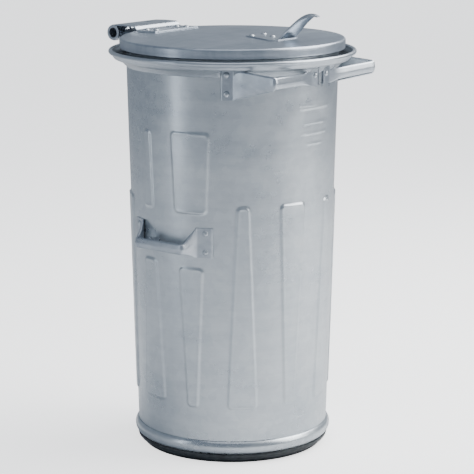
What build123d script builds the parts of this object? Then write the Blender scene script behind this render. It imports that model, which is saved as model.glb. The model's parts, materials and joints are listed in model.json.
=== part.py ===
from build123d import *

import math
import os

# A round galvanised steel bin of the 110 litre class with a hinged lid.
# Origin: centre of the foot ring, on the floor. +Z up, hinge towards +Y, lift tongue towards -Y.
# A bearing is an angle round the bin, counted from the front (-Y) towards +X.

# ---- driving dimensions, mm and degrees ----
WALL_BOTTOM_Z = 12.0
WALL_TOP_Z = 849.6
WALL_REF_Z = 61.0
WALL_REF_RADIUS = 199.5
WALL_SLOPE = 0.02558
WALL_SHEET = 1.4
RIM_BEAD_RADIUS = 2.9

RING_FLOOR_INNER = 176.0
RING_FLOOR_OUTER = 188.8
RING_TOP_OUTER = 201.0
RING_EDGE_HEIGHT = 4.0
RING_HEIGHT = 20.0
PAN_Z = 46.0
PAN_SHEET = 1.4
PAN_SKIRT_Z = 28.0
PAN_CROWN_LINE = [(0, 6), (150, 3), (184, -2)]
HOOP_LOW_Z = 20.4
HOOP_HIGH_Z = 48.0
HOOP_RADIUS = 206.6
HOOP_SHEET = 1.5

COLLAR_SHEET = 1.6
LIP_CENTRE_RADIUS = 250.8
LIP_CENTRE_Z = 826.0
LIP_RADIUS = 4.4
LIP_WIRE_RADIUS = 2.6

LID_TOP_Z = 859.5
LID_EDGE_Z = 854.0
LID_RADIUS = 232.5
CROWN_RADIUS = 227.0
LID_SHEET = 1.5
HEM_CENTRE_RADIUS = 229.2
HEM_CENTRE_Z = 834.2
HEM_RADIUS = 2.3
HEM_WIRE_RADIUS = 1.1
SKIRT_FOOT_Z = 839.5
SKIRT_TURN_IN = 2.8

HINGE_Y = 266.0
HINGE_Z = 850.0
KNUCKLE_OUTER = 17.0
KNUCKLE_INNER = 14.0
HINGE_HALF_WIDTH = 69.0
BRACKET_HALF_WIDTH = 31.0
KNUCKLE_END_GAP = 0.8
TUBE_OUTER = 13.95
TUBE_INNER = 10.6
TUBE_HALF_LENGTH = 72.5

HANDLE_SHEET = 2.6
HANDLE_LIP = 8.0
RIVET_SHANK = 3.0
RIVET_HEAD = 6.2
RIVET_HEAD_HEIGHT = 3.0
WASHER_RADIUS = 8.0
WASHER_SHEET = 1.5
WASHER_GAP = 0.4

PANEL_PITCH = 29.25
PANEL_START = -1.4
PANEL_RAISE = 2.6
PANEL_CORNER = 11.0

TONGUE_SHEET = 2.5
PLATE_SHEET = 2.0

os.makedirs("parts", exist_ok=True)


def wall_radius(z):
    """Outer radius of the tapered wall at height z."""
    return WALL_REF_RADIUS + WALL_SLOPE * (z - WALL_REF_Z)


def outward(bearing):
    """Level unit direction away from the bin's axis at a bearing."""
    turn = math.radians(bearing)
    return Vector(math.sin(turn), -math.cos(turn), 0)


def sideways(bearing):
    """Level unit direction along the wall at a bearing, so that sideways, outward and up make a frame."""
    turn = math.radians(bearing)
    return Vector(-math.cos(turn), -math.sin(turn), 0)


def plan_plane(bearing, z):
    """Level plane at height z with x along the wall and y outwards at a bearing."""
    return Plane(origin=(0, 0, z), x_dir=sideways(bearing), z_dir=(0, 0, 1))


def side_plane(bearing):
    """Upright plane through the bin's axis with x outwards at a bearing and y up."""
    return Plane(origin=(0, 0, 0), x_dir=outward(bearing), z_dir=sideways(bearing))


def radial_plane(bearing, z, radius=0.0):
    """Upright plane that faces outwards at a bearing, with its origin at a radius and height."""
    start = outward(bearing) * radius + Vector(0, 0, z)
    return Plane(origin=start, x_dir=sideways(bearing) * -1, z_dir=outward(bearing))


def save(builder, label):
    """Labels a finished piece and writes its file."""
    builder.part.label = label
    export_step(builder.part, f"parts/{label}.step")


def cone_shell(low_z, high_z, outer_offset, inner_offset):
    """The layer between two offsets of the tapered wall, between two heights."""
    with BuildPart() as shell:
        with BuildSketch(Plane.XZ):
            with BuildLine():
                Polyline(
                    (wall_radius(low_z) + inner_offset, low_z),
                    (wall_radius(low_z) + outer_offset, low_z),
                    (wall_radius(high_z) + outer_offset, high_z),
                    (wall_radius(high_z) + inner_offset, high_z),
                    close=True,
                )
            make_face()
        revolve(axis=Axis.Z)
    return shell.part


def ring_of_wire(radius, z, wire_radius):
    """A round wire bent to a ring."""
    with BuildPart() as ring:
        with BuildSketch(Plane.XZ):
            with Locations((radius, z)):
                Circle(wire_radius)
        revolve(axis=Axis.Z)
    return ring


def rivets(spots, grip_in, head_radius):
    """Rivets at (bearing, z, radius) spots: domed head outside, shank, flat upset end inside."""
    with BuildPart() as group:
        for bearing, z, radius in spots:
            with BuildSketch(radial_plane(bearing, z, radius - grip_in)):
                Circle(RIVET_SHANK)
            extrude(amount=grip_in + head_radius - radius)
            with BuildSketch(radial_plane(bearing, z, head_radius)):
                Circle(RIVET_HEAD)
            extrude(amount=RIVET_HEAD_HEIGHT, taper=38)
            with BuildSketch(radial_plane(bearing, z, radius - grip_in)):
                Circle(RIVET_SHANK + 1.6)
            extrude(amount=-1.8, taper=20)
    return group


def washers(spots, inner_face, sheet):
    """Burr washers on the shanks inside the wall."""
    with BuildPart() as group:
        for bearing, z, radius in spots:
            with BuildSketch(radial_plane(bearing, z, radius - inner_face)):
                Circle(WASHER_RADIUS)
                Circle(RIVET_SHANK, mode=Mode.SUBTRACT)
            extrude(amount=-sheet)
    return group


def shank_holes(spots, grip):
    """Clearing cylinders for the shanks, used to punch sheets."""
    with BuildPart() as holes:
        for bearing, z, radius in spots:
            with BuildSketch(radial_plane(bearing, z, radius)):
                Circle(RIVET_SHANK)
            extrude(amount=grip, both=True)
    return holes.part


# ---- pressed-out panels of the wall ----
# Tall panels taper up and down in turn. Columns beside a middle handle are split in two below and above it.
TALL = [(115, 538, 27, 63)]
SPLIT_WIDE_TOP = [(116, 410, 25, 55), (519.5, 686, 72, 87.6)]
SPLIT_NARROW_TOP = [(121, 418, 74, 42), (522, 682, 33, 23)]
SPLIT_COLUMNS = (-4, -3, 2, 3)


def column_panels(column):
    """(low z, high z, low width, high width) of each panel in a column."""
    wide_top = column % 2 == 1
    if column in SPLIT_COLUMNS:
        return SPLIT_WIDE_TOP if wide_top else SPLIT_NARROW_TOP
    if wide_top:
        return TALL
    return [(low, high, top, bottom) for low, high, bottom, top in TALL]


def panel_prisms(shrink):
    """Radial prisms through the wall with the panels' outlines, made smaller all round by shrink."""
    with BuildPart() as prisms:
        for column in range(-6, 6):
            bearing = PANEL_START + (column + 0.5) * PANEL_PITCH
            for low, high, low_width, high_width in column_panels(column):
                corner = min(PANEL_CORNER, 0.4 * min(low_width, high_width)) - shrink
                with BuildSketch(radial_plane(bearing, 0, 150)):
                    with BuildLine():
                        Polyline(
                            (-low_width / 2 + shrink, low + shrink),
                            (low_width / 2 - shrink, low + shrink),
                            (high_width / 2 - shrink, high - shrink),
                            (-high_width / 2 + shrink, high - shrink),
                            close=True,
                        )
                    outline = make_face()
                    fillet(outline.vertices(), corner)
                extrude(amount=120)
    return prisms.part


STAMP_BEARING = -1.0
STAMP_RAISE = 1.0
STAMP_BARS = [(728, 96, 9), (697, 64, 7), (676, 82, 7), (655, 50, 7)]


def stamp_bars():
    """Plain raised bars on the front of the wall, a blank stamp field."""
    with BuildPart() as bars:
        for z, length, height in STAMP_BARS:
            with BuildSketch(radial_plane(STAMP_BEARING, z, 150)):
                SlotOverall(length, height)
            extrude(amount=120)
    return bars.part


# ---- handles ----
# The two upper handles mirror each other: each has a tall outer flange and a short inner one, and its bow
# runs out slantwise from the inner flange to a corner near the outer one. Plan corners and outlines are
# drawn for the left one, with x towards its outer flange. The middle ones are plain symmetric bows.
UPPER = {
    "rivets": [(25.7, 764.5), (25.7, 802.5), (-25.7, 793.0)],
    "flange_end": 28.7,
    "fold": 22.6,
    "corners": [(33.0, 296.0)],
    "corner_round": 15.0,
    "flange_z": (752.0, 812.0),
    "seen_from": "front",
    "outline": [
        (112, 752), (84, 752), (30, 781), (-62, 776), (-84, 772), (-112, 772),
        (-112, 812), (-86, 812), (-66, 800), (28, 804), (84, 812), (112, 812),
    ],
}
MIDDLE_FOLD_V = 203.1
MIDDLE = {
    "rivets": [(turn, z) for turn in (-24.25, 24.25) for z in (444.2, 482.3)],
    "flange_end": 28.3,
    "fold": 19.6,
    "corners": [(64.0, 240.0), (-64.0, 240.0)],
    "corner_round": 13.0,
    "flange_z": (433.0, 493.0),
    "seen_from": "side",
    "outline": [
        (150, 433), (MIDDLE_FOLD_V, 433), (231, 442), (245, 442), (245, 464), (231, 464),
        (MIDDLE_FOLD_V, 493), (150, 493),
    ],
}
FOLD_ROUND = 5.0
LIP_CLEARANCE = 9.0
HANDLE_FORMS = {
    "upper_handle_left": (-28.4, 1, UPPER),
    "upper_handle_right": (33.0, -1, UPPER),
    "middle_handle_left": (-90.0, 1, MIDDLE),
    "middle_handle_right": (90.0, 1, MIDDLE),
}


def handle_spots(bearing, hand, form):
    """(bearing, z, radius) of a handle's rivets, on the wall's outer face."""
    return [(bearing - hand * turn, z, wall_radius(z)) for turn, z in form["rivets"]]


def flange_distance(form):
    """Distance from the bin's axis to the flat outer face of a handle's flange."""
    half_span = math.radians(form["flange_end"] - form["fold"]) / 2
    return (wall_radius(form["flange_z"][1]) + HANDLE_SHEET) * math.cos(half_span)


def handle_band(bearing, hand, form, depth):
    """The handle's plan outline, depth thick from its outer face inwards, as high as its flanges."""
    low, high = form["flange_z"]
    face_radius = wall_radius(high) + HANDLE_SHEET
    ends = [math.radians(form[key]) for key in ("flange_end", "fold")]
    half = [(face_radius * math.sin(turn), face_radius * math.cos(turn)) for turn in ends]
    route = half + form["corners"] + [(-x, y) for x, y in reversed(half)]
    if hand < 0:
        route = [(-x, y) for x, y in reversed(route)]
    bends = [FOLD_ROUND] + [form["corner_round"]] * len(form["corners"]) + [FOLD_ROUND]
    with BuildPart() as band:
        with BuildSketch(plan_plane(bearing, low)):
            with BuildLine():
                FilletPolyline(*route, radius=bends)
                offset(amount=depth, side=Side.LEFT)
            make_face()
        extrude(amount=high - low)
    return band.part


def outline_prism(bearing, hand, form, shrink):
    """Prism through the whole handle with its outline, made smaller all round by shrink."""
    from_front = form["seen_from"] == "front"
    plane = radial_plane(bearing, 0) if from_front else side_plane(bearing)
    points = [(-hand * x, z) if from_front else (x, z) for x, z in form["outline"]]
    with BuildPart() as prism:
        with BuildSketch(plane):
            with BuildLine():
                Polyline(*points, close=True)
            make_face()
            if shrink:
                offset(amount=-shrink, mode=Mode.REPLACE)
        extrude(amount=320, both=not from_front)
    return prism.part


def bow_handle(bearing, hand, form):
    """A pressed bow handle: riveted flanges and a bow with its edges turned in."""
    low, high = form["flange_z"]
    with BuildPart() as lips:
        add(handle_band(bearing, hand, form, HANDLE_LIP))
        add(outline_prism(bearing, hand, form, 0), mode=Mode.INTERSECT)
        add(outline_prism(bearing, hand, form, HANDLE_SHEET * 0.8), mode=Mode.SUBTRACT)
        with BuildSketch(Plane.XY.offset(low - 1)):
            Circle(wall_radius(high) + LIP_CLEARANCE)
        extrude(amount=high - low + 2, mode=Mode.SUBTRACT)
    with BuildPart() as handle:
        add(handle_band(bearing, hand, form, HANDLE_SHEET))
        add(outline_prism(bearing, hand, form, 0), mode=Mode.INTERSECT)
        add(lips.part)
        add(cone_shell(low - 5, high + 5, 0, -60), mode=Mode.SUBTRACT)
        add(shank_holes(handle_spots(bearing, hand, form), 12), mode=Mode.SUBTRACT)
    return handle


def collar_notches():
    """Cut-outs in the collar's skirt where the upper handles' flanges pass behind it."""
    high = UPPER["flange_z"][1]
    half_turn = (UPPER["flange_end"] + UPPER["fold"]) / 2
    with BuildPart() as notches:
        for bearing, hand, form in HANDLE_FORMS.values():
            if form is UPPER:
                for side in (-1, 1):
                    with BuildSketch(plan_plane(bearing + side * half_turn, high - 25)):
                        with Locations((0, 200)):
                            Rectangle(32, 55)
                    extrude(amount=26.5)
    return notches.part


all_spots = []
for name, (bearing, hand, form) in HANDLE_FORMS.items():
    spots = handle_spots(bearing, hand, form)
    all_spots += spots
    save(bow_handle(bearing, hand, form), name)
    inner_face = WALL_SHEET + WASHER_GAP
    save(rivets(spots, inner_face + WASHER_SHEET, flange_distance(form)), f"{name}_rivets")
    save(washers(spots, inner_face, WASHER_SHEET), f"{name}_washers")

# ---- bin body ----
with BuildPart() as panel_skins:
    add(cone_shell(60, 760, PANEL_RAISE, -WALL_SHEET))
    add(panel_prisms(0), mode=Mode.INTERSECT)
with BuildPart() as panel_hollows:
    add(cone_shell(60, 760, PANEL_RAISE - WALL_SHEET, -3 * WALL_SHEET))
    add(panel_prisms(WALL_SHEET), mode=Mode.INTERSECT)
with BuildPart() as stamp_skins:
    add(cone_shell(60, 760, STAMP_RAISE, -WALL_SHEET / 2))
    add(stamp_bars(), mode=Mode.INTERSECT)

rim_radius = wall_radius(WALL_TOP_Z) - WALL_SHEET / 2
with BuildPart() as body_shell:
    add(cone_shell(WALL_BOTTOM_Z, WALL_TOP_Z, 0, -WALL_SHEET))
    add(panel_skins.part)
    add(stamp_skins.part)
    with BuildSketch(Plane.XZ):
        with Locations((rim_radius, WALL_TOP_Z)):
            Circle(RIM_BEAD_RADIUS)
    revolve(axis=Axis.Z)
    add(panel_hollows.part, mode=Mode.SUBTRACT)
    with BuildSketch(Plane.XZ):
        with Locations((rim_radius, WALL_TOP_Z)):
            Circle(RIM_BEAD_RADIUS - WALL_SHEET)
    revolve(axis=Axis.Z, mode=Mode.SUBTRACT)
    add(shank_holes(all_spots, 12), mode=Mode.SUBTRACT)
save(body_shell, "body_shell")

body_rim_wire = ring_of_wire(rim_radius, WALL_TOP_Z, RIM_BEAD_RADIUS - WALL_SHEET)
save(body_rim_wire, "body_rim_wire")

pan_radius = wall_radius(PAN_Z) - WALL_SHEET
skirt_radius = wall_radius(HOOP_LOW_Z) - WALL_SHEET
with BuildPart() as base_pan:
    with BuildSketch(Plane.XZ):
        with BuildLine():
            Polyline(
                *[(r, PAN_Z + rise - PAN_SHEET) for r, rise in PAN_CROWN_LINE],
                (pan_radius - PAN_SHEET - 2, PAN_Z - PAN_SHEET - 2),
                (skirt_radius - PAN_SHEET, PAN_SKIRT_Z),
                (skirt_radius, PAN_SKIRT_Z),
                (pan_radius, PAN_Z),
                (pan_radius - 2, PAN_Z),
                *[(r, PAN_Z + rise) for r, rise in reversed(PAN_CROWN_LINE)],
                close=True,
            )
        make_face()
    revolve(axis=Axis.Z)
    add(cone_shell(20, 60, 10, -WALL_SHEET), mode=Mode.SUBTRACT)
save(base_pan, "base_pan")

hoop_mid = (HOOP_LOW_Z + HOOP_HIGH_Z) / 2


def hoop_section(inset, shorten):
    """The hoop's bulge as a face on the wall, moved in by inset and cut back at both ends by shorten."""
    low, high = HOOP_LOW_Z + shorten, HOOP_HIGH_Z - shorten
    low_point = (wall_radius(HOOP_LOW_Z) - inset, low)
    high_point = (wall_radius(HOOP_HIGH_Z) - inset, high)
    with BuildSketch(Plane.XZ) as section:
        with BuildLine():
            ThreePointArc(low_point, (HOOP_RADIUS - HOOP_SHEET * bool(inset), hoop_mid), high_point)
            Line(high_point, low_point)
        make_face()
    return section.sketch


with BuildPart() as bottom_hoop:
    add(hoop_section(0, 0))
    revolve(axis=Axis.Z)
    add(hoop_section(1, 2.5))
    revolve(axis=Axis.Z, mode=Mode.SUBTRACT)
save(bottom_hoop, "bottom_hoop")

with BuildPart() as rubber_foot_ring:
    with BuildSketch(Plane.XZ):
        with BuildLine():
            Polyline(
                (RING_FLOOR_INNER, 0), (RING_FLOOR_OUTER, 0), (RING_FLOOR_OUTER, RING_EDGE_HEIGHT),
                (198, 10), (RING_TOP_OUTER, 16),
                (RING_TOP_OUTER, RING_HEIGHT), (197.5, RING_HEIGHT),
                (wall_radius(RING_HEIGHT) - WALL_SHEET - 6, 24),
                (RING_FLOOR_INNER + 6, 16), close=True,
            )
        make_face()
    revolve(axis=Axis.Z)
    add(cone_shell(WALL_BOTTOM_Z, 30, 0, -WALL_SHEET), mode=Mode.SUBTRACT)
save(rubber_foot_ring, "rubber_foot_ring")

# ---- collar ----
COLLAR_LINE = [(216.5, 796), (226, 805), (230.5, 810), (243, 814), (250.6, 822.6)]

# ---- hinge bracket line: foot in the collar's trough, leg up between lip and lid, knuckle ----
FOOT_SEAT_Z = 809.4
FOOT_TOP_Z = 815.4
BRACKET_BEARINGS = (174.2, 180.0, 185.8)
FOOT_RADIUS = 235.0


def bracket_holes():
    """Upright clearing cylinders for the bracket's rivets."""
    with BuildPart() as holes:
        for bearing in BRACKET_BEARINGS:
            foot = outward(bearing) * FOOT_RADIUS
            with BuildSketch(Plane.XY.offset(FOOT_SEAT_Z - 12)):
                with Locations((foot.X, foot.Y)):
                    Circle(RIVET_SHANK)
            extrude(amount=30)
    return holes.part


with BuildPart() as collar_ring:
    with BuildSketch(Plane.XZ):
        with BuildLine():
            FilletPolyline(*COLLAR_LINE, radius=[8, 6, 8])
            offset(amount=COLLAR_SHEET, side=Side.LEFT)
        make_face()
    revolve(axis=Axis.Z)
    with BuildSketch(Plane.XZ):
        with Locations((LIP_CENTRE_RADIUS, LIP_CENTRE_Z)):
            Circle(LIP_RADIUS)
    revolve(axis=Axis.Z)
    with BuildSketch(Plane.XZ):
        with Locations((LIP_CENTRE_RADIUS, LIP_CENTRE_Z)):
            Circle(LIP_WIRE_RADIUS)
    revolve(axis=Axis.Z, mode=Mode.SUBTRACT)
    add(cone_shell(700, 840, 0, -60), mode=Mode.SUBTRACT)
    add(collar_notches(), mode=Mode.SUBTRACT)
    add(bracket_holes(), mode=Mode.SUBTRACT)
save(collar_ring, "collar_ring")

collar_edge_wire = ring_of_wire(LIP_CENTRE_RADIUS, LIP_CENTRE_Z, LIP_WIRE_RADIUS)
save(collar_edge_wire, "collar_edge_wire")


# ---- lid ----
def crown_z(x, y):
    """Height of the lid's crowned top face."""
    return LID_TOP_Z - (LID_TOP_Z - LID_EDGE_Z) * (x * x + y * y) / CROWN_RADIUS**2


def crown_line(lift):
    """The lid's crown from its centre to the shoulder, a shallow parabola, moved up by lift."""
    top = LID_TOP_Z + lift
    Bezier((0, top), (CROWN_RADIUS / 2, top), (CROWN_RADIUS, LID_EDGE_Z + lift))


def lid_dome(lift):
    """The solid below the lid's crowned top face, moved up by lift."""
    with BuildPart() as dome:
        with BuildSketch(Plane.XZ):
            with BuildLine():
                Line((0, LID_EDGE_Z - 40), (0, LID_TOP_Z + lift))
                crown_line(lift)
                Polyline(
                    (CROWN_RADIUS, LID_EDGE_Z + lift),
                    (CROWN_RADIUS, LID_EDGE_Z - 40),
                    (0, LID_EDGE_Z - 40),
                )
            make_face()
        revolve(axis=Axis.Z)
    return dome.part


STRAP_RIVETS = [(side * 48.0, y) for side in (-1, 1) for y in (166.0, 192.0)]
TONGUE_RIVETS = [(-20.0, -66.0), (20.0, -66.0), (0.0, -104.0)]


def upright_rivets(spots, seat_z, head_z):
    """Upright rivets at (x, y) spots: shank from seat_z up to head_z, domed head on top."""
    with BuildPart() as group:
        for x, y in spots:
            with BuildSketch(Plane.XY.offset(seat_z(x, y))):
                with Locations((x, y)):
                    Circle(RIVET_SHANK)
            extrude(amount=head_z(x, y) - seat_z(x, y))
            with BuildSketch(Plane.XY.offset(head_z(x, y))):
                with Locations((x, y)):
                    Circle(RIVET_HEAD)
            extrude(amount=RIVET_HEAD_HEIGHT, taper=38)
            with BuildSketch(Plane.XY.offset(seat_z(x, y))):
                with Locations((x, y)):
                    Circle(RIVET_SHANK + 1.6)
            extrude(amount=-1.6, taper=20)
    return group


def upright_holes(spots):
    """Upright clearing cylinders for lid rivets."""
    with BuildPart() as holes:
        with BuildSketch(Plane.XY.offset(LID_EDGE_Z - 20)):
            with Locations(*spots):
                Circle(RIVET_SHANK)
        extrude(amount=60)
    return holes.part


def lid_half_section(inset):
    """The lid's face line from its centre over the shoulder to the foot of the skirt, moved in by inset."""
    turn_radius = LID_RADIUS - CROWN_RADIUS - inset
    turn_z = LID_EDGE_Z - LID_RADIUS + CROWN_RADIUS
    diagonal = turn_radius * math.sqrt(0.5)
    edge_radius = LID_RADIUS - inset
    crown_line(-inset)
    ThreePointArc(
        (CROWN_RADIUS, LID_EDGE_Z - inset),
        (CROWN_RADIUS + diagonal, turn_z + diagonal),
        (edge_radius, turn_z),
    )
    Polyline(
        (edge_radius, turn_z),
        (edge_radius, SKIRT_FOOT_Z),
        (edge_radius - SKIRT_TURN_IN, HEM_CENTRE_Z + 1),
    )


with BuildPart() as lid_shell:
    with BuildSketch(Plane.XZ):
        with BuildLine():
            lid_half_section(0)
            lid_half_section(LID_SHEET)
            Line((0, LID_TOP_Z), (0, LID_TOP_Z - LID_SHEET))
            Line(
                (LID_RADIUS - SKIRT_TURN_IN, HEM_CENTRE_Z + 1),
                (LID_RADIUS - LID_SHEET - SKIRT_TURN_IN, HEM_CENTRE_Z + 1),
            )
        make_face()
    revolve(axis=Axis.Z)
    with BuildSketch(Plane.XZ):
        with Locations((HEM_CENTRE_RADIUS, HEM_CENTRE_Z)):
            Circle(HEM_RADIUS)
    revolve(axis=Axis.Z)
    with BuildSketch(Plane.XZ):
        with Locations((HEM_CENTRE_RADIUS, HEM_CENTRE_Z)):
            Circle(HEM_WIRE_RADIUS)
    revolve(axis=Axis.Z, mode=Mode.SUBTRACT)
    add(upright_holes(STRAP_RIVETS + TONGUE_RIVETS), mode=Mode.SUBTRACT)
save(lid_shell, "lid_shell")

lid_hem_wire = ring_of_wire(HEM_CENTRE_RADIUS, HEM_CENTRE_Z, HEM_WIRE_RADIUS)
save(lid_hem_wire, "lid_hem_wire")

# ---- hinge ----
STRAP_SHEET = KNUCKLE_OUTER - KNUCKLE_INNER
STRAP_END_Y = 150.0
HUMP_TOP_Z = 868.0
STRAP_LEVEL = STRAP_SHEET + 0.2


def strap_top(x, y):
    """Height of the strap's top face where it lies on the lid."""
    return crown_z(0, y) + STRAP_LEVEL


def knuckle_profile(turn_from, turn_to):
    """An open curl round the hinge axis, as the arc of its outer face."""
    return CenterArc((HINGE_Y, HINGE_Z), KNUCKLE_OUTER, turn_from, turn_to - turn_from)


with BuildPart() as hinge_strap:
    with BuildSketch(Plane.YZ):
        with BuildLine():
            curl = knuckle_profile(95, -200)
            top = FilletPolyline(
                (STRAP_END_Y, strap_top(0, STRAP_END_Y)),
                (200, strap_top(0, 200)),
                (209, HUMP_TOP_Z),
                (243, HUMP_TOP_Z),
                curl @ 0,
                radius=[9, 9, 14],
            )
            offset(amount=STRAP_SHEET, side=Side.RIGHT)
        make_face()
    extrude(amount=HINGE_HALF_WIDTH, both=True)
    with BuildSketch(Plane.YZ):
        with BuildLine():
            Polyline(
                (STRAP_END_Y, LID_EDGE_Z - 20), (198, LID_EDGE_Z - 20),
                (198, strap_top(0, 198) - 1), (STRAP_END_Y, strap_top(0, STRAP_END_Y) - 1),
                close=True,
            )
        make_face()
    extrude(amount=HINGE_HALF_WIDTH, both=True)
    add(lid_dome(0), mode=Mode.SUBTRACT)
    with BuildSketch(Plane.XY.offset(HINGE_Z - 40)):
        with Locations((0, HINGE_Y + 6)):
            Rectangle(2 * (BRACKET_HALF_WIDTH + KNUCKLE_END_GAP), 60)
    extrude(amount=80, mode=Mode.SUBTRACT)
    add(upright_holes(STRAP_RIVETS), mode=Mode.SUBTRACT)
save(hinge_strap, "hinge_strap")

TROUGH_LEG_Y = 242.0
with BuildPart() as hinge_bracket:
    with BuildSketch(Plane.YZ):
        with BuildLine():
            FilletPolyline(
                (258.0, 843.5), (TROUGH_LEG_Y + 1.5, 831.5), (TROUGH_LEG_Y + 1.5, 815.0),
                (226.0, 809.2), radius=[6, 5],
            )
            offset(amount=STRAP_SHEET, side=Side.RIGHT)
        make_face()
        with Locations((HINGE_Y, HINGE_Z)):
            Circle(KNUCKLE_OUTER)
            Circle(TUBE_OUTER, mode=Mode.SUBTRACT)
    extrude(amount=BRACKET_HALF_WIDTH, both=True)
    add(collar_ring.part, mode=Mode.SUBTRACT)
    add(bracket_holes(), mode=Mode.SUBTRACT)
    add(hinge_bracket.part.solids().sort_by(SortBy.VOLUME)[-1], mode=Mode.REPLACE)
save(hinge_bracket, "hinge_bracket")

with BuildPart() as hinge_tube:
    with BuildSketch(Plane.YZ):
        with Locations((HINGE_Y, HINGE_Z)):
            Circle(TUBE_OUTER)
    extrude(amount=TUBE_HALF_LENGTH, both=True)
    for side in (-1, 1):
        with BuildSketch(Plane.YZ.offset(side * (HINGE_HALF_WIDTH + KNUCKLE_END_GAP))):
            with Locations((HINGE_Y, HINGE_Z)):
                Circle(TUBE_OUTER + 2.2)
        extrude(amount=side * (TUBE_HALF_LENGTH - HINGE_HALF_WIDTH - KNUCKLE_END_GAP))
    with BuildSketch(Plane.YZ):
        with Locations((HINGE_Y, HINGE_Z)):
            Circle(TUBE_INNER)
    extrude(amount=TUBE_HALF_LENGTH, both=True, mode=Mode.SUBTRACT)
save(hinge_tube, "hinge_tube")

bracket_spots = [outward(bearing) * FOOT_RADIUS for bearing in BRACKET_BEARINGS]
bracket_spots = [(spot.X, spot.Y) for spot in bracket_spots]
hinge_bracket_rivets = upright_rivets(
    bracket_spots, lambda x, y: FOOT_SEAT_Z, lambda x, y: FOOT_TOP_Z
)
save(hinge_bracket_rivets, "hinge_bracket_rivets")


def backing_seat(x, y):
    """Height of the underside of a backing plate under the lid."""
    return crown_z(x, y) - LID_SHEET - PLATE_SHEET


def lid_layer(outline, low_lift, high_lift):
    """The part of an upright prism that lies between two lifts of the lid's crown."""
    with BuildPart() as layer:
        add(extrude(outline, amount=60, dir=(0, 0, 1)))
        add(lid_dome(high_lift), mode=Mode.INTERSECT)
        add(lid_dome(low_lift), mode=Mode.SUBTRACT)
    return layer


hinge_strap_rivets = upright_rivets(STRAP_RIVETS, backing_seat, strap_top)
save(hinge_strap_rivets, "hinge_strap_rivets")

with BuildSketch(Plane.XY.offset(LID_EDGE_Z - 20)) as strap_backing_outline:
    with Locations((0, 179)):
        RectangleRounded(124, 46, 8)
with BuildPart() as hinge_strap_backing_plate:
    add(lid_layer(strap_backing_outline.sketch, -LID_SHEET - PLATE_SHEET, -LID_SHEET).part)
    add(upright_holes(STRAP_RIVETS), mode=Mode.SUBTRACT)
save(hinge_strap_backing_plate, "hinge_strap_backing_plate")

# ---- lift tongue ----
# (distance forward, height, width, arch of the section) along the tongue's tail
TAIL = [
    (122.0, 859.0, 52.0, 5.0),
    (140.0, 872.0, 50.0, 8.0),
    (160.0, 891.0, 44.0, 9.0),
    (180.0, 906.0, 36.0, 8.0),
    (199.0, 913.0, 26.0, 5.0),
    (211.0, 912.5, 16.0, 2.5),
    (220.0, 909.5, 8.0, 1.0),
]


def tail_direction(index):
    """Unit direction of the tail's line at one of its sections."""
    before = TAIL[max(index - 1, 0)]
    after = TAIL[min(index + 1, len(TAIL) - 1)]
    return Vector(0, before[0] - after[0], after[1] - before[1]).normalized()


with BuildSketch(Plane.XY.offset(LID_EDGE_Z - 20)) as tongue_outline:
    with BuildLine():
        Polyline((-21, -50), (-46, -134), (-30, -143), (30, -143), (46, -134), (21, -50), close=True)
    fan = make_face()
    fillet(fan.vertices(), 7)
tongue_base = lid_layer(tongue_outline.sketch, 0, TONGUE_SHEET)

with BuildPart() as lift_tongue:
    for index, (forward, height, width, arch) in enumerate(TAIL):
        section = Plane(
            origin=(0, -forward, height), x_dir=(1, 0, 0), z_dir=tail_direction(index)
        )
        with BuildSketch(section):
            with BuildLine():
                ThreePointArc((-width / 2, -arch), (0, 0), (width / 2, -arch))
                Line((width / 2, -arch), (width / 2, -arch - TONGUE_SHEET))
                ThreePointArc(
                    (width / 2, -arch - TONGUE_SHEET), (0, -TONGUE_SHEET),
                    (-width / 2, -arch - TONGUE_SHEET),
                )
                Line((-width / 2, -arch - TONGUE_SHEET), (-width / 2, -arch))
            make_face()
    loft()
    add(lid_dome(0), mode=Mode.SUBTRACT)
    add(tongue_base.part)
    add(upright_holes(TONGUE_RIVETS), mode=Mode.SUBTRACT)
save(lift_tongue, "lift_tongue")

lift_tongue_rivets = upright_rivets(
    TONGUE_RIVETS, backing_seat, lambda x, y: crown_z(x, y) + TONGUE_SHEET
)
save(lift_tongue_rivets, "lift_tongue_rivets")

with BuildSketch(Plane.XY.offset(LID_EDGE_Z - 20)) as tongue_backing_outline:
    with Locations((0, -84)):
        RectangleRounded(64, 62, 8)
with BuildPart() as lift_tongue_backing_plate:
    add(lid_layer(tongue_backing_outline.sketch, -LID_SHEET - PLATE_SHEET, -LID_SHEET).part)
    add(upright_holes(TONGUE_RIVETS), mode=Mode.SUBTRACT)
save(lift_tongue_backing_plate, "lift_tongue_backing_plate")
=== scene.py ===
import bmesh
import bpy
import json
import math
from mathutils import Matrix, Vector, noise


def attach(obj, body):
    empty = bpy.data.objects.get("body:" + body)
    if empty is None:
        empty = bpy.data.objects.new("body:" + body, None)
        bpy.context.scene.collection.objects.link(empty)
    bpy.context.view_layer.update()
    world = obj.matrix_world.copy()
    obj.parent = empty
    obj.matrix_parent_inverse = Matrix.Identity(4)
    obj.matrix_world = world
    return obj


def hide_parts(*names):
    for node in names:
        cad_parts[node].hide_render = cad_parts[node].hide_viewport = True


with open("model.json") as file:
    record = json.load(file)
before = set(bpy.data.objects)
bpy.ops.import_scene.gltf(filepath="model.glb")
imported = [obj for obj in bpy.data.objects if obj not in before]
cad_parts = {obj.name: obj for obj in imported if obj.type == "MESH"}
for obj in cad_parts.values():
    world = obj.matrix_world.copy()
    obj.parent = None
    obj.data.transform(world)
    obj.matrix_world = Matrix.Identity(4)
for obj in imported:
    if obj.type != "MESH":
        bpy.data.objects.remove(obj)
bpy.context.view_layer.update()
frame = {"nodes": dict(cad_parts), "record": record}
nodes = frame["nodes"]


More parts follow.
